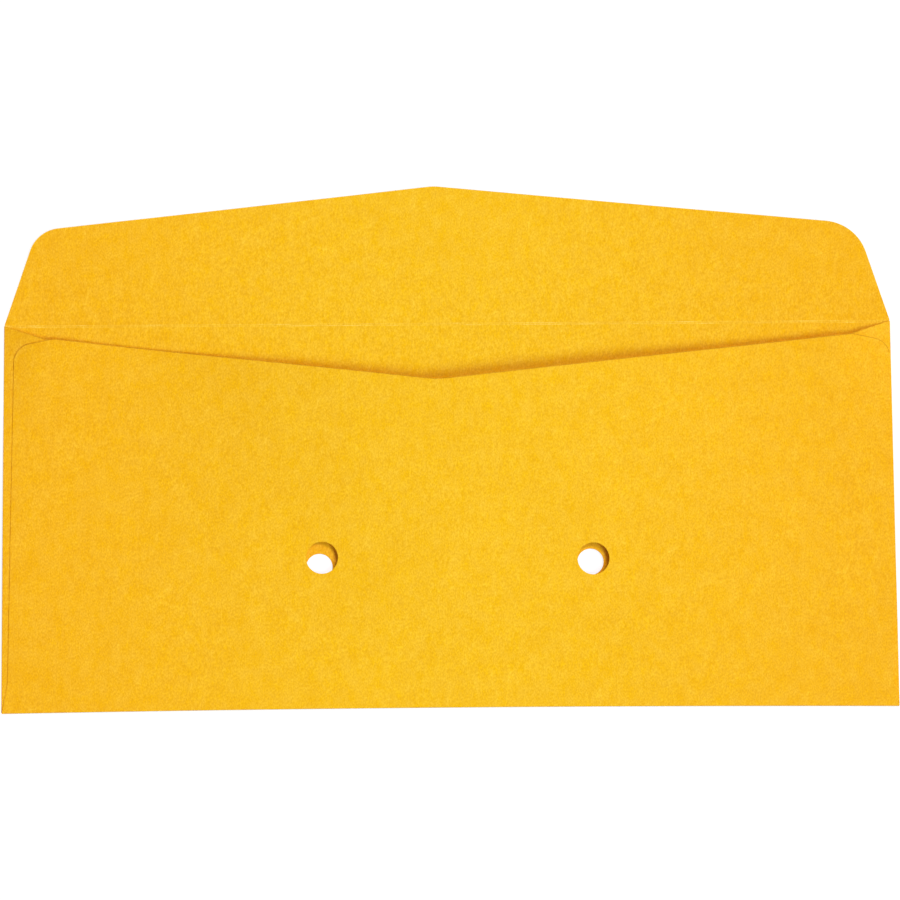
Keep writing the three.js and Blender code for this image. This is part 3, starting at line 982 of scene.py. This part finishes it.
def half_ring(radius, inner_radius=0.0):
    """A half ring, or a half disc, that bulges outwards about its centre."""
    angles = [-pi / 2 + pi * k / FOLD_SEGMENTS for k in range(FOLD_SEGMENTS + 1)]
    points = [(radius * cos(a), radius * sin(a)) for a in angles]
    if inner_radius > 0:
        points += [(inner_radius * cos(a), inner_radius * sin(a)) for a in reversed(angles)]
    return points


def side_fold(side):
    """The rolled edge at the left, -1, or at the right, 1."""
    name = "left" if side < 0 else "right"
    low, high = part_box(f"{name}_side_fold")
    x = side * PANEL_HALF_WIDTH
    ends = [(x, low.y, SIDE_FLAP_LEVEL), (x, high.y, SIDE_FLAP_LEVEL)]
    if side > 0:
        ends.reverse()
    fold = swept_strip(f"{name}_rolled_edge", half_ring(PAPER), *ends)
    bend(fold, Is_Blank=False)
    keep(fold, f"{name}_side_fold", "envelope")


for side in (-1, 1):
    side_fold(side)

bottom_section = half_ring(BOTTOM_FOLD_RADIUS, BOTTOM_FOLD_RADIUS - PAPER)
bottom_fold = swept_strip(
    "bottom_rolled_edge",
    bottom_section,
    (PANEL_HALF_WIDTH, PANEL_BOTTOM, BOTTOM_FOLD_RADIUS),
    (-PANEL_HALF_WIDTH, PANEL_BOTTOM, BOTTOM_FOLD_RADIUS),
)
bend(bottom_fold, Is_Blank=False)
keep(bottom_fold, "bottom_fold", "envelope")

# %% [markdown]
# ## Seal flap
#
# The flap is a shallow triangle with round shoulders and a blunt point, left of the middle. It lies open
# and flat, with no gum on it. It is its own piece because it turns: it rides on the flap's body.

# %% The seal flap
def is_flap_edge(point):
    """All of the flap's outline but the line along the crease."""
    return point.y > flap_low.y + EDGE_BAND


flap_roots = [HALF_WIDTH - SEAL_FLAP_ROOT * FLAP_SHOULDER_INSET / height for height in FLAP_SHOULDER_HEIGHTS]
flap_corners = [
    (-flap_roots[0], flap_low.y, 0),
    (flap_roots[1], flap_low.y, 0),
    (HALF_WIDTH - FLAP_SHOULDER_INSET, FOLD_Y + FLAP_SHOULDER_HEIGHTS[1], FLAP_CORNER_RADII[1]),
    (FLAP_POINT_X, FOLD_Y + FLAP_DEPTH, FLAP_POINT_RADIUS),
    (-HALF_WIDTH + FLAP_SHOULDER_INSET, FOLD_Y + FLAP_SHOULDER_HEIGHTS[0], FLAP_CORNER_RADII[0]),
]
seal_flap = cut_blank("pointed_flap", flap_corners, flap_low.z, is_flap_edge)
bend(seal_flap)
keep(seal_flap, "seal_flap", "flap")

# %% [markdown]
# ## The scored fold of the flap
#
# A blunt rule presses a groove where the flap will bend. The paper there is a narrow strip of its own.
# It gets many rows of faces across its millimetre of width, so that a roll would be round. The rule's two
# shoulders break some fibres, so two pale lines come and go along the crease.

# %% The scored fold
CREASE_ROWS = 16
CREASE_LINES = (0.05 * MM, -0.4 * MM)
CREASE_LINE_CORE = 0.04 * MM
CREASE_LINE_WIDTH = 0.22 * MM
CREASE_DASH = 7 * MM
CREASE_DASH_EDGE = 0.2
CREASE_SHIFT = 0.3
CREASE_LEAST = 0.25
CREASE_PALE = (1.0, 0.66, 0.08, 1)


def worn_crease(tree, place, color):
    """Two pale, broken lines, where the shoulders of the rule pressed the score."""
    across = arithmetic(tree, "SUBTRACT", parts(tree, place)[1], FOLD_Y)
    for number, offset in enumerate(CREASE_LINES):
        off_line = arithmetic(tree, "ABSOLUTE", arithmetic(tree, "SUBTRACT", across, offset))
        faded = ramp(tree, off_line, CREASE_LINE_CORE, CREASE_LINE_WIDTH)
        on_line = arithmetic(tree, "SUBTRACT", 1.0, faded)
        shift = (number * CREASE_SHIFT, 0, 0)
        along = add_node(tree, "ShaderNodeVectorMath", {0: place, 1: shift}, operation="ADD").outputs[0]
        dashes = ramp(tree, centred_noise(tree, along, 1 / CREASE_DASH, 2.0), 0.0, CREASE_DASH_EDGE)
        worn = arithmetic(tree, "MULTIPLY_ADD", dashes, 1 - CREASE_LEAST, CREASE_LEAST)
        color = blended(tree, arithmetic(tree, "MULTIPLY", on_line, worn), color, CREASE_PALE)
    return color


scored_kraft = paper_material("scored_kraft", CUT_PAPER, worn_crease)


def scored_fold():
    """The strip between envelope and flap, along the flap's fold."""
    width = crease_high.y - crease_low.y
    outline = [(width * k / CREASE_ROWS, PAPER) for k in range(CREASE_ROWS + 1)]
    outline += [(width * k / CREASE_ROWS, 0) for k in reversed(range(CREASE_ROWS + 1))]
    start = (PANEL_HALF_WIDTH, crease_low.y, 0)
    end = (-PANEL_HALF_WIDTH, crease_low.y, 0)
    fold = swept_strip("scored_fold_line", [(-out, up) for out, up in outline], start, end)
    bend(fold, Is_Blank=False, Material=scored_kraft)
    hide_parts("flap_fold")
    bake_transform(fold)


scored_fold()

# %% [markdown]
# ## Floor
#
# The envelope lies on a white table, which takes its shadow. Emission that only the camera and reflections
# see brings the table to plain white without putting more light on the paper.

# %% The floor
FLOOR_LEVEL = -0.1 * MM
FLOOR_HALF_SIZE = 1.5
FLOOR_COLOR = (0.28, 0.28, 0.28, 1)
FLOOR_ROUGHNESS = 0.9
FLOOR_GLOW = 0.8


def seen_directly(tree):
    """1 for camera, glossy and transmission rays, and 0 for the rays that light the object."""
    path = add_node(tree, "ShaderNodeLightPath").outputs
    seen = arithmetic(tree, "MAXIMUM", path["Is Camera Ray"], path["Is Glossy Ray"])
    return arithmetic(tree, "MAXIMUM", seen, path["Is Transmission Ray"])


def make_floor():
    """A plain white table top."""
    corner = FLOOR_HALF_SIZE
    floor = bmesh.new()
    places = [(-corner, -corner), (corner, -corner), (corner, corner), (-corner, corner)]
    floor.faces.new([floor.verts.new((x, y, FLOOR_LEVEL)) for x, y in places])
    table = to_object("table_top", floor)
    material = bpy.data.materials.new("white_table")
    material.use_nodes = True
    tree = material.node_tree
    shader = tree.nodes["Principled BSDF"]
    shader.inputs["Base Color"].default_value = FLOOR_COLOR
    shader.inputs["Roughness"].default_value = FLOOR_ROUGHNESS
    shader.inputs["Specular IOR Level"].default_value = 0.0
    shader.inputs["Emission Color"].default_value = WHITE
    glow = arithmetic(tree, "MULTIPLY", seen_directly(tree), FLOOR_GLOW)
    tree.links.new(glow, shader.inputs["Emission Strength"])
    table.data.materials.append(material)
    return table


table = make_floor()
print("stage", table.name)

# %% [markdown]
# ## Light
#
# Two softboxes stand on the right, one towards the bottom edge and one towards the flap. The shadows say
# so: in the throat only the front one is hidden, along a hole's top edge only the back one, and at its
# right edge both. The lamps stand far off, so that both ends get the same light. Their levels are set so
# that a white card lying flat would just render white.
#
# The photograph's shadows are orange, perhaps because a little light comes through the paper. Scattering
# inside every sheet would make the render much slower. Instead the front softbox is cooler, and the back one
# and the sky that fills the shadows are warmer. Together they are close to neutral.

# %% The light
SKY_STRENGTH = 0.27
LAMP_SPREAD = radians(120)
FRONT_LIGHT = (0.72, 1.01, 1.0)
BACK_LIGHT = (1.08, 1.01, 1.0)
SKY_LIGHT = (1.38, 0.92, 1.0, 1)
LAMP_DISTANCE = 8.0
LAMPS = {
    "right_front_lamp": {"towards": (0.9, -0.6, 1), "size": 3.8, "power": 170, "color": FRONT_LIGHT},
    "right_back_lamp": {"towards": (0.53, 0.55, 1), "size": 3.0, "power": 113, "color": BACK_LIGHT},
}


def make_lamp(name, towards, size, power, color):
    """A round softbox that faces the envelope."""
    data = bpy.data.lights.new(name, "AREA")
    data.shape = "DISK"
    data.size = size
    data.energy = power
    data.spread = LAMP_SPREAD
    data.color = color
    lamp = bpy.data.objects.new(name, data)
    direction = Vector(towards).normalized()
    lamp.location = direction * LAMP_DISTANCE
    lamp.rotation_euler = direction.to_track_quat("Z", "Y").to_euler()
    bpy.context.scene.collection.objects.link(lamp)


def make_sky():
    """A pale sky that lights the object softly and looks plain white itself."""
    world = bpy.data.worlds.new("pale_sky")
    world.use_nodes = True
    tree = world.node_tree
    background = tree.nodes["Background"]
    seen = seen_directly(tree)
    tree.links.new(blended(tree, seen, SKY_LIGHT, WHITE), background.inputs["Color"])
    strength = arithmetic(tree, "MULTIPLY_ADD", seen, 1 - SKY_STRENGTH, SKY_STRENGTH)
    tree.links.new(strength, background.inputs["Strength"])
    bpy.context.scene.world = world


for lamp_name, values in LAMPS.items():
    make_lamp(lamp_name, **values)
make_sky()
bpy.context.scene.view_settings.view_transform = "Standard"
print("lamps", list(LAMPS), "and a sky of strength", SKY_STRENGTH)
